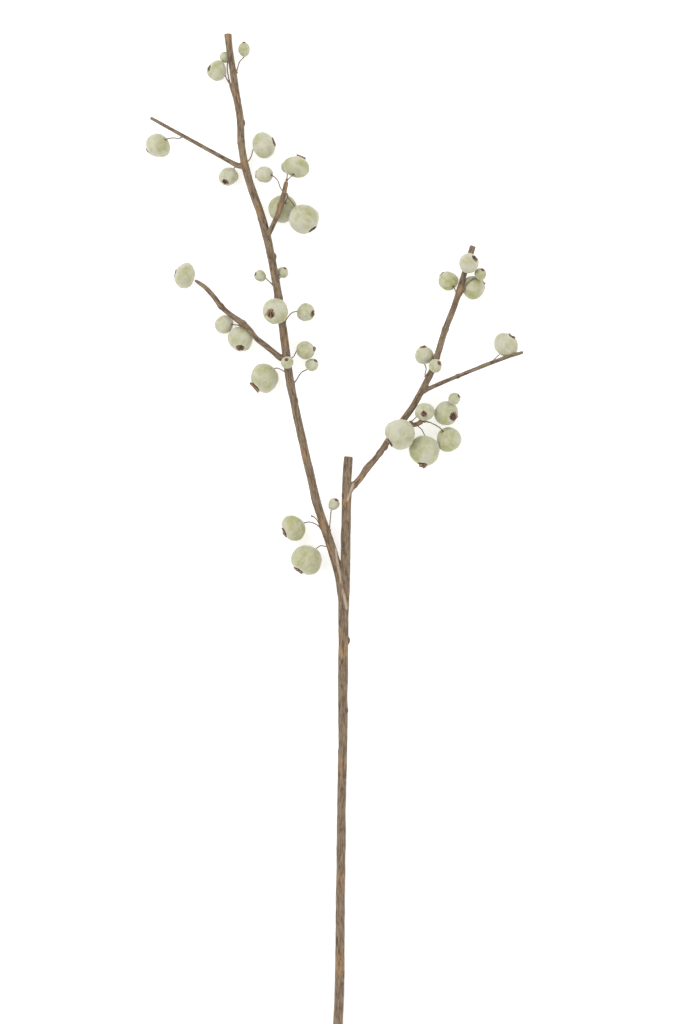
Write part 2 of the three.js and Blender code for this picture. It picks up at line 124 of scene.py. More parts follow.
# Rings of darker bark round a limb, where one year's growth ended: x, y, z, reach
RING_SWELL = 0.75 * MM  # how far the wood swells there
YEAR_RINGS = [
    (-98, 235, 14, 3), (29, 117.5, 14, 3.4), (-50, 314.5, 28, 3), (-61.5, 291, 14, 3.4), (8.5, 92, 14, 3),
    (-25.5, 96, 13.8, 3.2), (-2.5, -249, 6, 3.4), (-85, 400, 11, 3), (91.5, 179, 14.4, 2.2),
    (-52, 242, 14, 3.6), (81.5, 216.5, 14, 3.2), (-0.5, -73.5, 9.6, 3), (-42.5, 172.5, 14, 3.4),
    (-82, 366.5, 11.4, 3), (74.5, 194, 14, 3.4), (-80.5, 221, 15.6, 3), (2, 84, 14, 3.6),
    (-0.5, -109.5, 8.5, 3.4), (-59, 281, 13, 3),
]
# Patches where the outer bark has rubbed off to the rust-brown layer: x, y, z, reach
RUBBED = [
    (0, -38, 14, 11), (-2.6, -292, 8, 14), (-79, 350, 14, 6), (57, 140, 17, 8), (-1, -226, 9, 9),
    (-46.5, 329, 29, 8), (-51, 311, 29, 7), (-18, 62, 17, 7), (-92, 450, 13, 7), (-12, 40, 17, 6),
    (-30, 116, 17, 7), (-67, 312, 15, 7), (2.6, 78, 18, 8), (-86, 404, 14, 6), (12, 97, 17, 6),
    (-0.6, -132, 11, 8), (-47, 210, 17, 7), (93, 247, 16, 6),
]


def curve_through(route, spacing):
    """Places and radii, closely spaced, on the smooth curve through a route's points, in metres."""
    points = [FORK + Vector(step[:3]) * MM for step in route]
    radii = [step[3] * MM for step in route]
    points = [2 * points[0] - points[1], *points, 2 * points[-1] - points[-2]]
    places = []
    for i in range(1, len(points) - 2):
        before, start, end, after = points[i - 1:i + 3]
        pull_in, pull, pull_out = [
            math.sqrt((b - a).length) for a, b in ((before, start), (start, end), (end, after))
        ]
        leave = (start - before) / pull_in - (end - before) / (pull_in + pull) + (end - start) / pull
        arrive = (end - start) / pull - (after - start) / (pull + pull_out) + (after - end) / pull_out
        count = max(2, round((end - start).length / spacing))
        for k in range(count + (i == len(points) - 3)):
            t = k / count
            place = (
                (2 * t**3 - 3 * t**2 + 1) * start + (t**3 - 2 * t**2 + t) * pull * leave
                + (3 * t**2 - 2 * t**3) * end + (t**3 - t**2) * pull * arrive
            )
            places.append((place, radii[i - 1] * (1 - t) + radii[i] * t))
    return places


def rings_along(places):
    """One matrix for each place: it carries a unit circle to the limb's section there."""
    rings = []
    side = None
    for i, (place, radius) in enumerate(places):
        ahead = (places[min(i + 1, len(places) - 1)][0] - places[max(i - 1, 0)][0]).normalized()
        if side is None:
            side = ahead.orthogonal()
        side = (side - ahead * side.dot(ahead)).normalized()
        turn = Matrix((side, ahead.cross(side), ahead)).transposed().to_4x4()
        rings.append(Matrix.Translation(place) @ turn @ Matrix.Scale(radius, 4))
    return rings


def draw_out(shell, rings, sides):
    """A closed round rod, drawn out ring by ring."""
    bmesh.ops.create_circle(shell, cap_ends=True, segments=sides, radius=1, matrix=rings[0])
    shell.edges.ensure_lookup_table()
    edges = shell.edges[-sides:]
    for last, ring in zip(rings, rings[1:]):
        grown = bmesh.ops.extrude_edge_only(shell, edges=edges)["geom"]
        corners = [part for part in grown if isinstance(part, bmesh.types.BMVert)]
        new = set(corners)
        bmesh.ops.transform(shell, matrix=ring @ last.inverted(), verts=corners)
        edges = [
            part for part in grown
            if isinstance(part, bmesh.types.BMEdge) and part.verts[0] in new and part.verts[1] in new
        ]
    bmesh.ops.contextual_create(shell, geom=edges)


def piece_from(shell, name):
    """A finished mesh as an object at the origin."""
    mesh = bpy.data.meshes.new(name)
    bmesh.ops.recalc_face_normals(shell, faces=shell.faces)
    shell.to_mesh(mesh)
    shell.free()
    mesh.shade_smooth()
    piece = bpy.data.objects.new(name, mesh)
    bpy.context.scene.collection.objects.link(piece)
    return piece


def store(piece, name, kind, values):
    """Keeps one value for each vertex, for the material to read."""
    layer = piece.data.attributes.new(name, kind, "POINT")
    key = "vector" if kind == "FLOAT_VECTOR" else "value"
    flat = [part for value in values for part in value] if key == "vector" else values
    layer.data.foreach_set(key, flat)


limb_places = {name: curve_through(route, 3 * MM) for name, route in LIMBS.items()}
shell = bmesh.new()
for places in limb_places.values():
    draw_out(shell, rings_along(places), 20)
for route in SEAMS.values():
    draw_out(shell, rings_along(curve_through(route, 2 * MM)), 10)
for x, y, z, radius in BUD_SCARS:
    place = FORK + Vector((x, y, z)) * MM
    nearest = min(
        (pair for places in limb_places.values() for pair in zip(places, places[1:])),
        key=lambda pair: (pair[0][0] - place).length,
    )
    along = (nearest[1][0] - nearest[0][0]).normalized()
    low = place + (nearest[0][0] - place).normalized() * radius * SCAR_SUNK * MM
    turn = Vector((0, 0, 1)).rotation_difference(along).to_matrix().to_4x4()
    size = Matrix.Diagonal((radius * MM, radius * MM, radius * SCAR_LENGTH * MM, 1))
    bmesh.ops.create_icosphere(
        shell, subdivisions=2, radius=1, matrix=Matrix.Translation(low) @ turn @ size
    )
branch = piece_from(shell, "branch_wood")
grow = branch.modifiers.new("grow_together", "REMESH")
grow.mode = "VOXEL"
grow.voxel_size = WOOD_GRIT
grown = bpy.data.meshes.new_from_object(branch.evaluated_get(bpy.context.evaluated_depsgraph_get()))
branch.modifiers.clear()
branch.data = grown

# every vertex of the wood belongs to the nearest ring: its place there gives the grain its run
wood_rings = []
run = 0.0
for places in limb_places.values():
    for i, ring in enumerate(rings_along(places)):
        if i:
            run += (places[i][0] - places[i - 1][0]).length
        wood_rings.append((ring, run, places[i][1]))
    run += 0.05
tree = kdtree.KDTree(len(wood_rings))
for i, (ring, _, _) in enumerate(wood_rings):
    tree.insert(ring.translation, i)
tree.balance()


def nearest_ring(place):
    """The ring of the limb whose surface is nearest to a place."""
    found = tree.find_n(place, 8)
    return min(found, key=lambda hit: hit[2] - wood_rings[hit[1]][2])[1]


shell = bmesh.new()
shell.from_mesh(branch.data)
for _ in range(2):
    bmesh.ops.smooth_vert(
        shell, verts=shell.verts, factor=0.4, use_axis_x=True, use_axis_y=True, use_axis_z=True
    )
shell.normal_update()


def nearness(places, point, power=2.0):
    """1 at the nearest of some places, falling to 0 at its reach."""
    best = 0.0
    for x, y, z, reach in places:
        away = (point - FORK - Vector((x, y, z)) * MM).length / (reach * MM)
        if away < 1:
            best = max(best, (1 - away**power))
    return best


grain_run = []
for corner in shell.verts:
    ring, run, radius = wood_rings[nearest_ring(corner.co)]
    side, up, ahead = (ring.col[k].xyz.normalized() for k in range(3))
    off = corner.co - ring.translation
    grain = Vector((off.dot(side), off.dot(up), run + off.dot(ahead)))
    grain_run.append(grain)
    ridge = noise.fractal(Vector((grain.x * 900, grain.y * 900, grain.z * 110)), 1.0, 2.0, 3)
    lump = noise.noise(Vector((grain.x * 120, grain.y * 120, grain.z * 75)))
    swell = nearness(YEAR_RINGS, corner.co) * RING_SWELL + FULLNESS * MM
    corner.co += corner.normal * (radius * (BARK_RELIEF * ridge + BARK_LUMPS * lump + 0.05) + swell)
shell.to_mesh(branch.data)
shell.free()
branch.data.shade_smooth()
store(branch, "grain", "FLOAT_VECTOR", grain_run)


corners = [corner.co for corner in branch.data.vertices]
scar_places = [(x, y, z, radius * 1.9) for x, y, z, radius in BUD_SCARS]
store(branch, "scar", "FLOAT", [
    max(nearness(scar_places, point), 0.8 * nearness(YEAR_RINGS, point)) for point in corners
])
store(branch, "rubbed", "FLOAT", [nearness(RUBBED, point) for point in corners])
# the pale band along each seam ridge is a painted highlight
seam_highlight_places = [
    (*((place - FORK) / MM), 1.5) for route in SEAMS.values() for place, _ in curve_through(route, MM)
]
store(branch, "seam_highlight", "FLOAT", [nearness(seam_highlight_places, point) for point in corners])

# cut and snapped ends: the faces that look out of a limb's tip show bare wood
tips = []
for name in ("stem", "leader", "right_branch", "upper_left_twig", "right_twig", "short_twig"):
    places = limb_places[name]
    tips.append((places[-1][0], (places[-1][0] - places[-2][0]).normalized(), places[-1][1]))
places = limb_places["stem"]
tips.append((places[0][0], (places[0][0] - places[1][0]).normalized(), places[0][1]))
for face in branch.data.polygons:
    for tip, outward, radius in tips:
        if (face.center - tip).length < radius * 1.1 and face.normal.dot(outward) > 0.75:
            face.material_index = 1


def put(tree, kind, joins=None, **values):
    """Adds a shader node, sets its values, and joins the inputs named in joins to other outputs."""
    made = tree.nodes.new(kind)
    for name, value in values.items():
        setattr(made, name, value)
    for name, source in (joins or {}).items():
        socket = made.inputs[name]
        if isinstance(source, bpy.types.NodeSocket):
            tree.links.new(source, socket)
        else:
            socket.default_value = source
    return made


def blend_colours(tree, share, first, second, how="MIX"):
    """Mixes two colours; share runs from the first to the second."""
    made = put(tree, "ShaderNodeMix", data_type="RGBA", blend_type=how)
    for index, source in ((0, share), (6, first), (7, second)):
        if isinstance(source, bpy.types.NodeSocket):
            tree.links.new(source, made.inputs[index])
        else:
            made.inputs[index].default_value = (*source, 1) if index else source
    return made.outputs[2]


def step_between(tree, value, low, high, to_low=0.0, to_high=1.0):
    """A smooth step of a value between two levels."""
    made = put(
        tree, "ShaderNodeMapRange",
        {"Value": value, "From Min": low, "From Max": high, "To Min": to_low, "To Max": to_high},
        interpolation_type="SMOOTHSTEP",
    )
    return made.outputs["Result"]


def stretched(tree, vector, scale):
    """A vector stretched by a scale along each axis."""
    return put(tree, "ShaderNodeMapping", {"Vector": vector, "Scale": scale}).outputs["Vector"]


def grainy_bark():
    """Lengthwise streaks, cracks and mottles of dry bark, read from the grain of the piece."""
    group = bpy.data.node_groups.new("grainy_bark", "ShaderNodeTree")
    face = group.interface
    size = face.new_socket("Size", in_out="INPUT", socket_type="NodeSocketFloat")
    size.default_value = 1.0
    for name in ("Streaks", "Mottle", "Cracks", "Height"):
        face.new_socket(name, in_out="OUTPUT", socket_type="NodeSocketFloat")
    entry = group.nodes.new("NodeGroupInput")
    leave = group.nodes.new("NodeGroupOutput")
    grain = put(group, "ShaderNodeAttribute", attribute_name="grain").outputs["Vector"]
    sized = put(group, "ShaderNodeVectorMath", {0: grain}, operation="SCALE")
    group.links.new(entry.outputs["Size"], sized.inputs["Scale"])
    sized = sized.outputs["Vector"]
    streaks = put(group, "ShaderNodeTexNoise", {
        "Vector": stretched(group, sized, (1000, 1000, 120)), "Scale": 1.0, "Detail": 5.0, "Roughness": 0.62,
    }).outputs["Fac"]
    mottle = put(group, "ShaderNodeTexNoise", {
        "Vector": stretched(group, sized, (420, 420, 130)), "Scale": 1.0, "Detail": 4.0, "Roughness": 0.6,
    }).outputs["Fac"]
    cracks = put(group, "ShaderNodeTexVoronoi", {
        "Vector": stretched(group, sized, (1500, 1500, 130)), "Scale": 1.0, "Randomness": 1.0,
    }, feature="DISTANCE_TO_EDGE").outputs["Distance"]
    cracks = step_between(group, cracks, 0.0, 0.12, 1.0, 0.0)
    fine = put(group, "ShaderNodeTexNoise", {
        "Vector": stretched(group, sized, (3200, 3200, 420)), "Scale": 1.0, "Detail": 3.0, "Roughness": 0.6,
    }).outputs["Fac"]
    height = put(group, "ShaderNodeMath", {0: streaks, 1: 0.7, 2: fine}, operation="MULTIPLY_ADD").outputs[0]
    height = put(group, "ShaderNodeMath", {0: cracks, 1: -0.35, 2: height}, operation="MULTIPLY_ADD").outputs[0]
    for name, source in (("Streaks", streaks), ("Mottle", mottle), ("Cracks", cracks), ("Height", height)):
        group.links.new(source, leave.inputs[name])
    return group


GRAIN = grainy_bark()


def new_finish(name):
    """An empty material with its Principled shader."""
    material = bpy.data.materials.new(name)
    material.use_nodes = True
    tree = material.node_tree
    return material, tree, tree.nodes["Principled BSDF"]


def bark_finish():
    """Matte grey-brown bark, streaked along its length, dark at the scars, rust-brown where rubbed."""
    material, tree, shader = new_finish("grey_brown_bark")
    grain = put(tree, "ShaderNodeGroup", node_tree=GRAIN)
    grain.inputs["Size"].default_value = 1.0
    streaks = step_between(tree, grain.outputs["Streaks"], 0.36, 0.64)
    colour = blend_colours(tree, streaks, (0.15, 0.098, 0.06), (0.35, 0.255, 0.158))
    mottle = step_between(tree, grain.outputs["Mottle"], 0.5, 0.66, 0.0, 0.8)
    colour = blend_colours(tree, mottle, colour, (0.29, 0.235, 0.165))
    stain = step_between(tree, grain.outputs["Mottle"], 0.44, 0.34, 0.0, 0.75)
    colour = blend_colours(tree, stain, colour, (0.082, 0.052, 0.034))
    rubbed = put(tree, "ShaderNodeAttribute", attribute_name="rubbed").outputs["Fac"]
    worn = put(tree, "ShaderNodeMath", {0: rubbed, 1: streaks}, operation="MULTIPLY").outputs[0]
    colour = blend_colours(tree, worn, colour, (0.43, 0.26, 0.13))
    cracks = put(tree, "ShaderNodeMath", {0: grain.outputs["Cracks"], 1: 0.45}, operation="MULTIPLY")
    colour = blend_colours(tree, cracks.outputs[0], colour, (0.07, 0.045, 0.03))
    scar = put(tree, "ShaderNodeAttribute", attribute_name="scar").outputs["Fac"]
    scar = put(tree, "ShaderNodeMath", {0: scar, 1: 0.6}, operation="MULTIPLY").outputs[0]
    colour = blend_colours(tree, scar, colour, (0.09, 0.058, 0.038))
    # painted highlight: the bark turns pale along the seam ridges
    seam_highlight = put(tree, "ShaderNodeAttribute", attribute_name="seam_highlight").outputs["Fac"]
    seam_highlight = step_between(tree, seam_highlight, 0.15, 0.6, 0.0, 0.85)
    colour = blend_colours(tree, seam_highlight, colour, (0.56, 0.44, 0.32))
    tree.links.new(colour, shader.inputs["Base Color"])
    rough = step_between(tree, grain.outputs["Streaks"], 0.3, 0.7, 0.92, 0.74)
    tree.links.new(rough, shader.inputs["Roughness"])
    bump = put(tree, "ShaderNodeBump", {"Strength": 0.8, "Distance": 0.0005, "Height": grain.outputs["Height"]})
    tree.links.new(bump.outputs["Normal"], shader.inputs["Normal"])
    return material


def bare_wood_finish():
    """Dry cut wood: tan, with year rings."""
    material, tree, shader = new_finish("bare_cut_wood")
    grain = put(tree, "ShaderNodeAttribute", attribute_name="grain").outputs["Vector"]
    across = put(tree, "ShaderNodeVectorMath", {0: grain, 1: (1, 1, 0)}, operation="MULTIPLY").outputs["Vector"]
    rings = put(tree, "ShaderNodeTexWave", {
        "Vector": across, "Scale": 700.0, "Distortion": 2.0, "Detail": 2.0,
    }, wave_type="RINGS", rings_direction="Z").outputs["Fac"]
    colour = blend_colours(tree, rings, (0.30, 0.20, 0.115), (0.46, 0.34, 0.21))
    tree.links.new(colour, shader.inputs["Base Color"])
    shader.inputs["Roughness"].default_value = 0.85
    bump = put(tree, "ShaderNodeBump", {"Strength": 0.3, "Distance": 0.0002, "Height": rings})
    tree.links.new(bump.outputs["Normal"], shader.inputs["Normal"])
    return material


branch.data.materials.append(bark_finish())
branch.data.materials.append(bare_wood_finish())
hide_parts("branch")
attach(branch, "root")

# The apples
# Thirty-eight crab apples, no two alike: firm pale green fruit, a little lobed and lopsided, under
# a chalky white bloom. Each has a hollow for its stalk at one end and its eye at the other.

# Radius across, half length, and the way the eye points
FRUIT = {
    1: (8.2, 7.7, (-0.83, 0.22, 0.5)), 2: (4.5, 4.4, (-0.45, 0.85, -0.25)),
    3: (5, 5.7, (-0.02, 0.97, 0.25)), 4: (10.2, 8.6, (-0.76, -0.58, -0.3)),
    5: (7.5, 7.2, (-0.35, -0.66, 0.66)), 6: (10.7, 8.8, (0.95, 0.3, 0.1)),
    7: (6.9, 6.7, (-0.93, 0.1, -0.35)), 8: (10.6, 8, (0.38, 0.86, -0.34)),
    9: (4.6, 4.5, (-0.1, 0.75, -0.65)), 10: (11.5, 11, (-0.2, -0.45, -0.87)),
    11: (12.2, 11.6, (0.62, -0.78, 0.04)), 12: (10.3, 8.3, (-0.94, 0.3, 0.14)),
    13: (7.4, 7.2, (-0.95, 0.05, -0.3)), 14: (9.9, 9, (0.02, -0.84, 0.54)),
    15: (4.7, 4.9, (-0.85, 0.32, 0.42)), 16: (4.6, 4.6, (0.4, 0.72, 0.55)),
    17: (10.2, 9.8, (-0.37, -0.31, 0.87)), 18: (7.4, 7, (0.84, -0.18, 0.5)),
    19: (7.2, 7.4, (0.97, 0.06, 0.2)), 20: (5.2, 5.1, (0.58, 0.62, 0.5)),
    21: (5, 5, (-0.1, 0.42, 0.9)), 22: (11.8, 11, (-0.68, -0.7, 0.14)),
    23: (10.5, 9.2, (-0.87, -0.41, 0.28)), 24: (12.3, 11.4, (-0.62, -0.76, 0.2)),
    25: (4.6, 5, (0.42, 0.74, 0.5)), 26: (8.2, 7.9, (0.6, 0.53, 0.6)),
    27: (7.8, 7.6, (-0.6, 0.7, -0.4)), 28: (4.9, 4.5, (0.36, 0.7, 0.6)),
    29: (9.8, 8.4, (0.93, 0.2, -0.3)), 30: (7.8, 7.2, (-0.05, 0.93, 0.35)),
    31: (5.2, 5, (0.6, 0.45, 0.66)), 32: (10.4, 8.9, (0.52, 0.78, 0.25)),
    33: (12.4, 11.6, (-0.79, -0.59, 0.06)), 34: (7.5, 7.2, (-0.09, -0.28, 0.95)),
    35: (10.1, 9.6, (0.5, -0.28, 0.82)), 36: (4.9, 4.8, (0.73, 0.45, 0.5)),
    37: (12.2, 11.6, (-0.12, -0.98, 0.14)), 38: (10.1, 9.6, (0.55, -0.7, -0.45)),
}
PEAR_SHAPED = (3, 15, 25)
BLUNT = (23, 24, 33, 38)  # narrower at the stalk, broad and flat round the eye
# How far the bloom has rubbed off the yellow-green skin; 0.35 on the rest
RUBBED_FRUIT = {
    6: 0.2, 7: 0.0, 8: 0.8, 12: 0.25, 17: 0.4, 19: 0.55, 23: 1.0, 24: 0.55, 25: 0.1, 26: 0.15, 27: 0.85,
    28: 0.7, 29: 0.75, 30: 0.1, 32: 0.0, 33: 0.3, 34: 0.25, 35: 0.55, 37: 0.55, 38: 0.6, 1: 0.5, 3: 0.7,
}
PROFILE_STEPS = 34
FRUIT_TURNS = 60
EYE_REACH = 0.05  # the eye stands out past the middle of the CAD apple's box by this share


def fruit_frame(number):
    """Middle, the turn that carries +Z to the stalk end, and both radii of an apple, in metres."""
    across, along, eye = FRUIT[number]
    lo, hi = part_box(f"apple_{number:02d}")
    stalk_way = -Vector(eye).normalized()
    middle = (lo + hi) / 2 + stalk_way * EYE_REACH * along * MM
    turn = Vector((0, 0, 1)).rotation_difference(stalk_way).to_matrix().to_4x4()
    roll = Matrix.Rotation(2.4 * number, 4, "Z")
    return middle, turn @ roll, across * MM, along * MM


def dip(value, reach):
    """1 in the middle, 0 from reach outward, smooth between."""
    share = min(1.0, value / reach)
    return (1 - share * share) ** 2


def fruit_profile():
    """Half outline of a fruit from the eye to the stalk, both radii 1, in the X-Z plane."""
    outline = []
    for step in range(PROFILE_STEPS + 1):
        angle = math.pi * (step / PROFILE_STEPS - 0.5)
        out = abs(math.cos(angle)) ** 0.93
        rise = math.sin(angle)
        if rise < 0:
            rise += 0.13 * dip(out, 0.46)
        else:
            rise -= 0.2 * dip(out, 0.34)
        outline.append(Vector((out if 0 < step < PROFILE_STEPS else 0, 0, rise)))
    return outline


def shape_fruit(number):
    """One apple as a mesh, with each vertex's place on the fruit for its material."""
    middle, turn, across, along = fruit_frame(number)
    chance = random.Random(number)
    drift = Vector([chance.uniform(-50, 50) for _ in range(3)])
    shell = bmesh.new()
    corners = [shell.verts.new(point) for point in fruit_profile()]
    edges = [shell.edges.new(pair) for pair in zip(corners, corners[1:])]
    bmesh.ops.spin(
        shell, geom=corners + edges, cent=(0, 0, 0), axis=(0, 0, 1), angle=2 * math.pi,
        steps=FRUIT_TURNS, use_merge=True,
    )
    bmesh.ops.remove_doubles(shell, verts=shell.verts, dist=1e-5)
    lean = chance.uniform(0.03, 0.1)
    oval = chance.uniform(0.0, 0.035)
    lean_way = chance.uniform(0, 2 * math.pi)
    lobes = chance.uniform(0.012, 0.03)
    unit = []
    for corner in shell.verts:
        place = corner.co.copy()
        unit.append(place)
        way = math.atan2(place.y, place.x)
        out = math.hypot(place.x, place.y)
        toward_eye = max(0.0, -place.z)
        swell = 1 + 0.11 * noise.noise(place * 0.9 + drift) + 0.03 * noise.noise(place * 2.6 + drift)
        swell += oval * math.cos(2 * (way - lean_way)) * out
        swell += lobes * math.cos(5 * way) * toward_eye**1.5 * out
        swell += 0.6 * lobes * math.cos(5 * way + 0.6) * dip(abs(out - 0.45), 0.4) * (place.z < 0)
        tilt = lean * math.cos(way - lean_way) * out
        taper = 1 + 0.03 * place.z
        if number in PEAR_SHAPED:
            taper = 0.96 - 0.12 * place.z
        if number in BLUNT:
            taper = 1 - 0.09 * place.z
        corner.co = Vector((
            place.x * swell * taper * across, place.y * swell * taper * across,
            (place.z * (1 + 0.5 * (swell - 1)) + tilt) * along,
        ))
    bmesh.ops.transform(shell, matrix=Matrix.Translation(middle) @ turn, verts=shell.verts)
    lowest = min(corner.co.z for corner in shell.verts)
    if lowest < 0.05 * MM:
        bmesh.ops.translate(shell, vec=(0, 0, 0.05 * MM - lowest), verts=shell.verts)
    piece = piece_from(shell, f"fruit_{number:02d}")
    store(piece, "skin", "FLOAT_VECTOR", unit)
    store(piece, "patch", "FLOAT_VECTOR", [place + drift for place in unit])
    store(piece, "rubbed", "FLOAT", [RUBBED_FRUIT.get(number, 0.35)] * len(unit))
    return piece


def waxy_bloom():
    """Where the bloom lies thick, where the fruit ripened yellow, and its specks and scuffs."""
    group = bpy.data.node_groups.new("waxy_bloom", "ShaderNodeTree")
    face = group.interface
    for name in ("Bloom", "Ripeness", "Specks", "Height"):
        face.new_socket(name, in_out="OUTPUT", socket_type="NodeSocketFloat")
    leave = group.nodes.new("NodeGroupOutput")
    patch = put(group, "ShaderNodeAttribute", attribute_name="patch").outputs["Vector"]
    cloud = put(group, "ShaderNodeTexNoise", {
        "Vector": patch, "Scale": 1.1, "Detail": 6.0, "Roughness": 0.62, "Distortion": 0.3,
    }).outputs["Fac"]
    chalk = put(group, "ShaderNodeTexNoise", {
        "Vector": patch, "Scale": 15.0, "Detail": 6.0, "Roughness": 0.75,
    }).outputs["Fac"]
    drawn = put(group, "ShaderNodeTexNoise", {
        "Vector": stretched(group, patch, (5.5, 5.5, 1.6)), "Scale": 1.0, "Detail": 4.0, "Roughness": 0.6,
    }).outputs["Fac"]
    total = put(group, "ShaderNodeMath", {0: chalk, 1: 0.5, 2: cloud}, operation="MULTIPLY_ADD").outputs[0]
    total = put(group, "ShaderNodeMath", {0: drawn, 1: 0.35, 2: total}, operation="MULTIPLY_ADD").outputs[0]
    bloom = step_between(group, total, 0.68, 1.08)
    ripe = put(group, "ShaderNodeTexNoise", {
        "Vector": patch, "Scale": 1.2, "Detail": 5.0, "Roughness": 0.62, "Distortion": 0.3,
    }).outputs["Fac"]
    ripe = step_between(group, ripe, 0.48, 0.68)
    cells = put(group, "ShaderNodeTexVoronoi", {"Vector": patch, "Scale": 7.5, "Randomness": 1.0})
    dots = step_between(group, cells.outputs["Distance"], 0.05, 0.13, 1.0, 0.0)
    pick = put(group, "ShaderNodeSeparateColor", {"Color": cells.outputs["Color"]}).outputs["Red"]
    pick = step_between(group, pick, 0.72, 0.8)
    specks = put(group, "ShaderNodeMath", {0: dots, 1: pick}, operation="MULTIPLY").outputs[0]
    height = put(group, "ShaderNodeMath", {0: chalk, 1: 0.6, 2: bloom}, operation="MULTIPLY_ADD").outputs[0]
    height = put(group, "ShaderNodeMath", {0: specks, 1: -0.5, 2: height}, operation="MULTIPLY_ADD").outputs[0]
    for name, source in (("Bloom", bloom), ("Ripeness", ripe), ("Specks", specks), ("Height", height)):
        group.links.new(source, leave.inputs[name])
    return group


def skin_finish():
    """Pale green skin, yellower where it is ripe, under a chalky bloom, dark round the eye."""
    material, tree, shader = new_finish("bloomed_apple_skin")
    bloom = put(tree, "ShaderNodeGroup", node_tree=waxy_bloom())
    rubbed = put(tree, "ShaderNodeAttribute", attribute_name="rubbed").outputs["Fac"]
    flesh = blend_colours(tree, rubbed, (0.42, 0.42, 0.24), (0.37, 0.375, 0.16))
    reach = step_between(tree, rubbed, 0.0, 1.0, 0.45, 1.0)
    ripe = put(tree, "ShaderNodeMath", {0: bloom.outputs["Ripeness"], 1: reach}, operation="MULTIPLY").outputs[0]
    flesh = blend_colours(tree, ripe, flesh, (0.36, 0.37, 0.075))
    thick = put(tree, "ShaderNodeMath", {0: bloom.outputs["Bloom"], 1: 0.8}, operation="MULTIPLY").outputs[0]
    worn = put(tree, "ShaderNodeMath", {0: rubbed, 1: 0.32}, operation="MULTIPLY").outputs[0]
    worn = put(tree, "ShaderNodeMath", {0: ripe, 1: 0.6, 2: worn}, operation="MULTIPLY_ADD").outputs[0]
    thin = step_between(tree, worn, 0.0, 1.0, 1.0, 0.1)
    thick = put(tree, "ShaderNodeMath", {0: thick, 1: thin}, operation="MULTIPLY").outputs[0]
    colour = blend_colours(tree, thick, flesh, (0.62, 0.6, 0.5))
    place = put(tree, "ShaderNodeAttribute", attribute_name="skin").outputs["Vector"]
    parts = put(tree, "ShaderNodeSeparateXYZ", {"Vector": place}).outputs
    flat = put(tree, "ShaderNodeVectorMath", {0: place, 1: (1, 1, 0)}, operation="MULTIPLY").outputs["Vector"]
    out = put(tree, "ShaderNodeVectorMath", {0: flat}, operation="LENGTH").outputs["Value"]
    eye_side = step_between(tree, parts["Z"], -0.55, -0.75)
    halo = step_between(tree, out, 0.4, 0.62, 0.4, 0.0)
    halo = put(tree, "ShaderNodeMath", {0: halo, 1: eye_side}, operation="MULTIPLY").outputs[0]
    colour = blend_colours(tree, halo, colour, (0.64, 0.59, 0.48))
    ragged = put(tree, "ShaderNodeTexNoise", {"Vector": place, "Scale": 9.0, "Detail": 3.0}).outputs["Fac"]
    ragged = put(tree, "ShaderNodeMath", {0: ragged, 1: 0.36, 2: out}, operation="MULTIPLY_ADD").outputs[0]
    dry = step_between(tree, ragged, 0.49, 0.53, 0.96, 0.0)
    dry = put(tree, "ShaderNodeMath", {0: dry, 1: eye_side}, operation="MULTIPLY").outputs[0]
    colour = blend_colours(tree, dry, colour, (0.035, 0.017, 0.01))
    stalk_side = step_between(tree, parts["Z"], 0.55, 0.75)
    russet = step_between(tree, ragged, 0.26, 0.4, 0.7, 0.0)
    russet = put(tree, "ShaderNodeMath", {0: russet, 1: stalk_side}, operation="MULTIPLY").outputs[0]
    colour = blend_colours(tree, russet, colour, (0.27, 0.2, 0.1))
    specks = put(tree, "ShaderNodeMath", {0: bloom.outputs["Specks"], 1: 0.55}, operation="MULTIPLY").outputs[0]
    colour = blend_colours(tree, specks, colour, (0.25, 0.21, 0.11))
    tree.links.new(colour, shader.inputs["Base Color"])
    rough = step_between(tree, bloom.outputs["Bloom"], 0.0, 1.0, 0.5, 0.85)
    tree.links.new(rough, shader.inputs["Roughness"])
    shader.inputs["Specular IOR Level"].default_value = 0.3
    shader.inputs["Sheen Weight"].default_value = 1.0
    shader.inputs["Sheen Roughness"].default_value = 0.3
    shader.inputs["Subsurface Weight"].default_value = 0.12
    shader.inputs["Subsurface Radius"].default_value = (0.9, 1.0, 0.5)
    shader.inputs["Subsurface Scale"].default_value = 0.002
    bump = put(tree, "ShaderNodeBump", {"Strength": 0.3, "Distance": 0.0003, "Height": bloom.outputs["Height"]})
    tree.links.new(bump.outputs["Normal"], shader.inputs["Normal"])
    return material


apple_skin = skin_finish()
fruit = {}
for number in FRUIT:
    fruit[number] = shape_fruit(number)
    fruit[number].data.materials.append(apple_skin)
    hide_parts(f"apple_{number:02d}")
    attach(fruit[number], "root")

# The eyes
# What is left of the flower at the far end of each apple: five dry sepals that stand round the
# hollow and curl outward, and in the middle a tuft of withered stamens. Grown on the fruit.

SEPAL_ROWS = 6
PROUD_EYES = (3, 19, 25, 37)  # on these fruit the flower stands well out


def add_sepal(shell, base, height, width, spread, curl, way):
    """One dry sepal: a pointed blade that rises from the rim of the eye and curls outward."""
    made = bmesh.ops.create_grid(shell, x_segments=2, y_segments=SEPAL_ROWS, size=0.5)["verts"]
    for corner in made:
        up = corner.co.y + 0.5
        side = corner.co.x
        bend = spread + curl * up
        reach = height * up
        corner.co = Vector((
            base + reach * math.sin(bend) * 0.9,
            side * width * (1.05 - up) ** 0.75 * (1 + 0.25 * math.sin(9 * up)),
            -reach * math.cos(bend) + 0.35 * width * side * side,
        ))
    faces = list({face for corner in made for face in corner.link_faces})
    bmesh.ops.solidify(shell, geom=faces, thickness=0.035)
    blade = [corner for corner in shell.verts if not corner.tag]
    bmesh.ops.transform(shell, matrix=Matrix.Rotation(way, 4, "Z"), verts=blade)
    for corner in blade:
        corner.tag = True


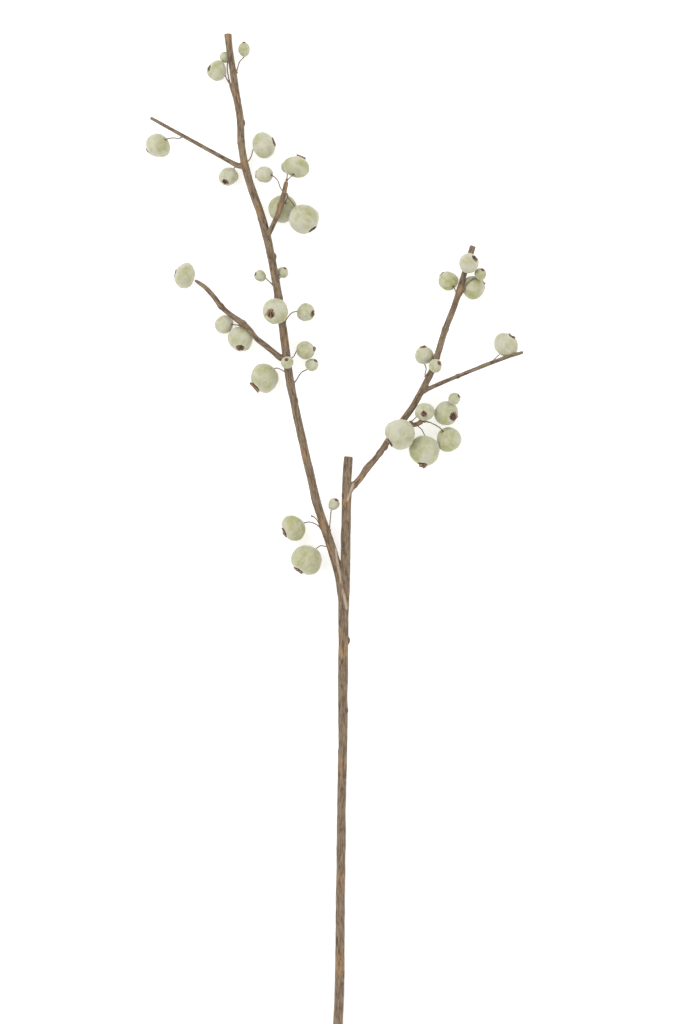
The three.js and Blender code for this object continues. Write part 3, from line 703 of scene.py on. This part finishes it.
def shape_eye(number):
    """The dry flower of one apple, on the same turn as the fruit."""
    middle, turn, across, along = fruit_frame(number)
    chance = random.Random(1000 + number)
    floor = -0.87 * along / across
    shell = bmesh.new()
    start = chance.uniform(0, 2 * math.pi)
    proud = number in PROUD_EYES
    wide = chance.uniform(0.95, 1.3)
    for k in range(5):
        add_sepal(
            shell, 0.17 * wide, chance.uniform(0.19, 0.28) * wide, chance.uniform(0.22, 0.32) * wide,
            chance.uniform(0.1, 0.4) if proud else chance.uniform(0.85, 1.15), chance.uniform(-0.1, 0.5),
            start + k * 2 * math.pi / 5 + chance.uniform(-0.22, 0.22),
        )
    for _ in range(26):
        lean = Matrix.Rotation(chance.uniform(-0.55, 0.55), 4, "X") @ Matrix.Rotation(
            chance.uniform(-0.55, 0.55), 4, "Y"
        )
        tall = chance.uniform(0.06, 0.13)
        spot = Matrix.Rotation(chance.uniform(0, 2 * math.pi), 4, "Z") @ Vector((0.3 * wide * math.sqrt(chance.random()), 0, 0))
        stand = Matrix.Translation((spot.x, spot.y, -tall / 2))
        bmesh.ops.create_cone(
            shell, cap_ends=True, segments=5, radius1=0.018, radius2=0.028, depth=tall,
            matrix=stand @ lean @ Matrix.Rotation(math.pi, 4, "X"),
        )
    place = Matrix.Translation(middle) @ turn @ Matrix.Scale(across, 4) @ Matrix.Translation((0, 0, floor))
    bmesh.ops.transform(shell, matrix=place, verts=shell.verts)
    drift = Vector([chance.uniform(-9, 9) for _ in range(3)])
    lowest = min(corner.co.z for corner in shell.verts)
    for corner in shell.verts:
        corner.co.z = max(corner.co.z, 0.05 * MM) if lowest < 0 else corner.co.z
    inverse = place.inverted()
    local = [inverse @ corner.co for corner in shell.verts]
    piece = piece_from(shell, f"eye_{number:02d}")
    piece.data.shade_flat()
    store(piece, "sepal", "FLOAT_VECTOR", local)
    store(piece, "patch", "FLOAT_VECTOR", [point * 3 + drift for point in local])
    return piece


def dry_flower_finish():
    """Brittle brown sepals, reddish in places, paler and greyer at their tips."""
    material, tree, shader = new_finish("dry_flower")
    patch = put(tree, "ShaderNodeAttribute", attribute_name="patch").outputs["Vector"]
    mottle = put(tree, "ShaderNodeTexNoise", {"Vector": patch, "Scale": 2.4, "Detail": 4.0}).outputs["Fac"]
    colour = blend_colours(tree, step_between(tree, mottle, 0.4, 0.6), (0.045, 0.023, 0.014), (0.19, 0.088, 0.05))
    local = put(tree, "ShaderNodeAttribute", attribute_name="sepal").outputs["Vector"]
    rise = put(tree, "ShaderNodeSeparateXYZ", {"Vector": local}).outputs["Z"]
    tips = step_between(tree, rise, -0.06, -0.1, 0.0, 0.8)
    colour = blend_colours(tree, tips, colour, (0.42, 0.29, 0.19))
    tree.links.new(colour, shader.inputs["Base Color"])
    rough = step_between(tree, mottle, 0.3, 0.7, 0.7, 0.95)
    tree.links.new(rough, shader.inputs["Roughness"])
    bump = put(tree, "ShaderNodeBump", {"Strength": 0.5, "Distance": 0.0002, "Height": mottle})
    tree.links.new(bump.outputs["Normal"], shader.inputs["Normal"])
    return material


dry_flower = dry_flower_finish()
for number in FRUIT:
    eye = shape_eye(number)
    eye.data.materials.append(dry_flower)
    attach(eye, "root")

# The stalks
# Thin dry stalks, one for each apple, that spring from small buds on the bark. Each is stiff and a
# little crooked, thicker at its foot and where it enters the apple.

# Bud: x, y, z, radius. Ways: the points that the stalk of each apple passes on its way to the bud
BUDS = {
    "stalks_01_02": ((-90.6, 412.6, 9.4, 1.1), {
        1: [(-94, 418.5, 9.2)], 2: [(-93.2, 427, 6.6), (-92.2, 419, 7.6)],
    }),
    "stalk_03": ((-85.9, 422, 11.8, 1.1), {3: [(-83, 431, 11.5), (-84.6, 426.4, 11.9)]}),
    "stalk_04": ((-128.6, 371.2, 10.6, 1.1), {4: [(-136.5, 370.2, 8.5), (-132, 369.6, 9.8)]}),
    "stalks_05_06": ((-79.3, 350, 8.6, 1.3), {
        5: [(-85.5, 348, 7.6)], 6: [(-74, 355.5, 8.4), (-76.3, 351.8, 7.6)],
    }),
    "stalks_07_10_11": ((-47.3, 324.6, 30, 1.6), {
        7: [(-52.5, 334.3, 25.6), (-50.6, 329, 28.2), (-48.8, 326, 30)],
        10: [(-45.3, 319.5, 23), (-44.2, 322.8, 27.4), (-45.6, 324, 29.6)],
        11: [(-39, 314.6, 22), (-43.6, 320, 27), (-45.6, 322.8, 29.4)],
    }),
    "stalks_08_09": ((-45.2, 334.2, 27.4, 1.2), {8: [(-43.4, 335.6, 28.2)], 9: [(-45, 337.5, 22)]}),
    "stalks_13_14": ((-82.2, 219.6, 13.2, 1.3), {
        13: [(-86, 220.2, 10.6)], 14: [(-82.6, 219.9, 6.6), (-82.5, 220.2, 10.5)],
    }),
    "stalks_15_16": ((-56.4, 252.3, 11.4, 1.2), {
        15: [(-59.6, 255, 11.4)], 16: [(-52.6, 256, 8), (-54.8, 253.6, 9.2)],
    }),
    "stalks_17_18": ((-47, 222.4, 16, 1.3), {
        17: [(-48.2, 228.2, 17.7)], 18: [(-41, 230, 11.8), (-44.2, 226.5, 13.6)],
    }),
    "stalks_19_21": ((-43, 192.6, 15.4, 1.3), {
        19: [(-40, 194.6, 13.8)], 21: [(-42.6, 187.4, 17.6), (-41.4, 190.4, 16.4)],
    }),
    "stalk_20": ((-40.8, 172, 12.6, 1.1), {20: [(-34, 182, 8.8), (-37, 177.2, 10.4)]}),
    "stalk_22": ((-45.8, 182, 14.6, 1.1), {22: [(-53, 185.6, 12.2), (-48.6, 183.6, 14)]}),
    "stalk_23": ((-17.9, 57.4, 14.8, 1.3), {
        23: [(-27.5, 62.4, 11.6), (-22, 60.6, 13.8)],
        None: [(-26, 67.5, 17), (-23, 66, 16.8), (-20.6, 63, 16.2)],
    }),
    "stalk_24": ((-12.2, 42.8, 14.2, 1.2), {24: [(-18.5, 43.4, 10.8), (-15, 43, 12.8)]}),
    "stalk_25": ((-11.3, 55.6, 14.8, 1.2), {25: [(-10.4, 66, 13.6), (-10.9, 61, 14.4)]}),
    "stalks_26_28_29": ((95.9, 248.8, 14.2, 1.4), {
        26: [(95.3, 262, 19.4), (95.3, 254.5, 18.6)],
        28: [(104.4, 256.6, 18.4), (100.5, 254.6, 18.9), (97.4, 251.4, 17.4)],
        29: [],
    }),
    "stalk_27": ((90.6, 245, 15, 1.1), {27: [(89.3, 247.6, 15.6)]}),
    "stalks_30_31": ((65.7, 178.6, 15.4, 1.3), {
        30: [(66.2, 185, 11.4), (65.2, 181, 14)], 31: [(68.8, 183.4, 18), (66.6, 180.6, 17.2)],
    }),
    "stalk_32": ((119.4, 190.6, 13.6, 1.1), {32: [(122.5, 194.4, 7), (120, 191.8, 10.6)]}),
    "stalks_33_34": ((53.4, 142, 15.6, 1.3), {
        33: [(55.8, 140.6, 22), (54.4, 142.6, 18.6)], 34: [(60, 148.2, 13.8), (56.6, 144.8, 14.6)],
    }),
    "stalks_35_36_37_38": ((64.4, 143, 16, 1.5), {
        35: [(74.5, 152, 6), (68, 146.5, 12)],
        36: [(85.6, 160.4, 14), (83.5, 158.6, 5.5), (77, 152.6, 3.6), (70, 147.5, 9)],
        37: [(64.8, 132, 13.6), (62.4, 136.6, 13.8), (59.6, 139.4, 12.8), (59.8, 142.8, 12.9), (62.6, 144.4, 14.8)],
        38: [(77.5, 137.2, 15.4), (70, 141.6, 16.4)],
    }),
}
STALK_RADIUS = 0.43
STALK_HEAD = 0.72
STALK_FOOT = 0.7


def stalk_route(number, way, bud):
    """A stalk from the hollow of its apple, past its way, into the bud: x, y, z, radius."""
    foot = [(*bud[:3], STALK_FOOT)]
    thin = [(*point, STALK_RADIUS) for point in way]
    if number is None:
        return [(*way[0], STALK_HEAD), *thin[1:], *foot]
    middle, turn, across, along = fruit_frame(number)
    outward = turn.col[2].xyz
    depths = (0.72, 0.84, 0.97)
    widths = (STALK_HEAD, STALK_HEAD * 0.85, STALK_RADIUS * 1.1)
    head = []
    for depth, width in zip(depths, widths):
        place = (middle + outward * depth * along - FORK) / MM
        head.append((*place, width))
    return [*head, *thin, *foot]


def shape_stalks(name, bud, ways):
    """The stalks that spring from one bud, with the bud's scales at their feet."""
    chance = random.Random(name)
    shell = bmesh.new()
    grain = []
    for number, way in ways.items():
        places = curve_through(stalk_route(number, way, bud), 0.9 * MM)
        crooked = Vector([chance.uniform(-50, 50) for _ in range(3)])
        bent = []
        for i, (place, radius) in enumerate(places):
            ends = min(1.0, i / 5, (len(places) - 1 - i) / 5)
            stray = noise.noise_vector(place * 130 + crooked) * 0.09 * MM * ends
            knob = 1 + 0.12 * noise.noise(place * 700 + crooked)
            bent.append((place + stray, radius * knob))
        count = len(shell.verts)
        rings = rings_along(bent)
        draw_out(shell, rings, 10)
        shell.verts.ensure_lookup_table()
        for i in range(count, len(shell.verts)):
            ring = (i - count) // 10
            off = shell.verts[i].co - bent[ring][0]
            side, up = (rings[ring].col[k].xyz.normalized() for k in range(2))
            grain.append(Vector((off.dot(side), off.dot(up), ring * 0.9 * MM + 0.1 * len(grain))))
    middle = FORK + Vector(bud[:3]) * MM
    for k in range(6):
        tilt = Matrix.Rotation(k * 1.05 + chance.uniform(-0.3, 0.3), 4, (0.2, 0.3, 1)) @ Matrix.Rotation(0.7, 4, "X")
        size = bud[3] * MM * chance.uniform(0.72, 0.95)
        scale = Matrix.Diagonal((size, size * 0.8, size * 1.15, 1))
        made = bmesh.ops.create_icosphere(
            shell, subdivisions=2, radius=1,
            matrix=Matrix.Translation(middle) @ tilt @ Matrix.Translation((0, 0, size * 0.3)) @ scale,
        )["verts"]
        grain.extend((corner.co - middle) for corner in made)
    piece = piece_from(shell, name.replace("stalk", "stem", 1))
    store(piece, "grain", "FLOAT_VECTOR", grain)
    feet = [max(0.0, 1 - (corner.co - middle).length / (3.2 * MM)) for corner in piece.data.vertices]
    store(piece, "foot", "FLOAT", feet)
    return piece


def stalk_finish():
    """Dry grey-brown stalk, streaked along its length and more orange at its foot."""
    material, tree, shader = new_finish("dry_stalk")
    grain = put(tree, "ShaderNodeGroup", node_tree=GRAIN)
    grain.inputs["Size"].default_value = 2.2
    streaks = step_between(tree, grain.outputs["Streaks"], 0.35, 0.65)
    colour = blend_colours(tree, streaks, (0.13, 0.082, 0.052), (0.3, 0.215, 0.145))
    foot = put(tree, "ShaderNodeAttribute", attribute_name="foot").outputs["Fac"]
    foot = step_between(tree, foot, 0.1, 0.7, 0.0, 0.75)
    colour = blend_colours(tree, foot, colour, (0.27, 0.165, 0.085))
    tree.links.new(colour, shader.inputs["Base Color"])
    rough = step_between(tree, grain.outputs["Mottle"], 0.3, 0.7, 0.7, 0.9)
    tree.links.new(rough, shader.inputs["Roughness"])
    bump = put(tree, "ShaderNodeBump", {"Strength": 0.4, "Distance": 0.0002, "Height": grain.outputs["Height"]})
    tree.links.new(bump.outputs["Normal"], shader.inputs["Normal"])
    return material


dry_stalk = stalk_finish()
for name, (bud, ways) in BUDS.items():
    stalks = shape_stalks(name, bud, ways)
    stalks.data.materials.append(dry_stalk)
    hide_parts(name)
    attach(stalks, "root")

# The floor, the light and the camera
# The sprig lies on a plain white floor in even studio light, and the camera looks straight down.

bpy.ops.mesh.primitive_plane_add(size=8, location=(0, 0, 0))
floor = bpy.context.object
floor.name = "floor"
paper, tree, shader = new_finish("white_floor")
shader.inputs["Base Color"].default_value = (0.93, 0.93, 0.93, 1)
shader.inputs["Roughness"].default_value = 0.9
shader.inputs["Specular IOR Level"].default_value = 0.1
shader.inputs["Emission Color"].default_value = (1, 1, 1, 1)
shader.inputs["Emission Strength"].default_value = 0.4
floor.data.materials.append(paper)

scene = bpy.context.scene
scene.view_settings.view_transform = "Standard"
world = bpy.data.worlds.new("studio")
scene.world = world
world.use_nodes = True
world.node_tree.nodes["Background"].inputs["Color"].default_value = (1, 1, 1, 1)
world.node_tree.nodes["Background"].inputs["Strength"].default_value = 0.85


def soft_light(name, place, size, power):
    """A square soft light that looks at the middle of the sprig."""
    lamp = bpy.data.lights.new(name, "AREA")
    lamp.size = size
    lamp.energy = power
    light = bpy.data.objects.new(name, lamp)
    light.location = place
    light.rotation_euler = (-Vector(place)).to_track_quat("-Z", "Y").to_euler()
    scene.collection.objects.link(light)


soft_light("key", (-1.3, 1.2, 2.0), 1.6, 22)
soft_light("fill", (1.6, -0.9, 1.8), 1.8, 8)

VIEW_HEIGHT = 819.2 * MM  # height of the view at the level of the branch
BRANCH_LEVEL = 13 * MM
lens = bpy.data.cameras.new("overhead")
lens.lens = 110
lens.sensor_fit = "AUTO"
lens.sensor_width = 36
camera = bpy.data.objects.new("overhead", lens)
distance = VIEW_HEIGHT * lens.lens / lens.sensor_width
camera.location = FORK + Vector((-1.6 * MM, 70.4 * MM, BRANCH_LEVEL + distance))
camera.rotation_euler = (0, 0, 0)
scene.collection.objects.link(camera)
scene.camera = camera
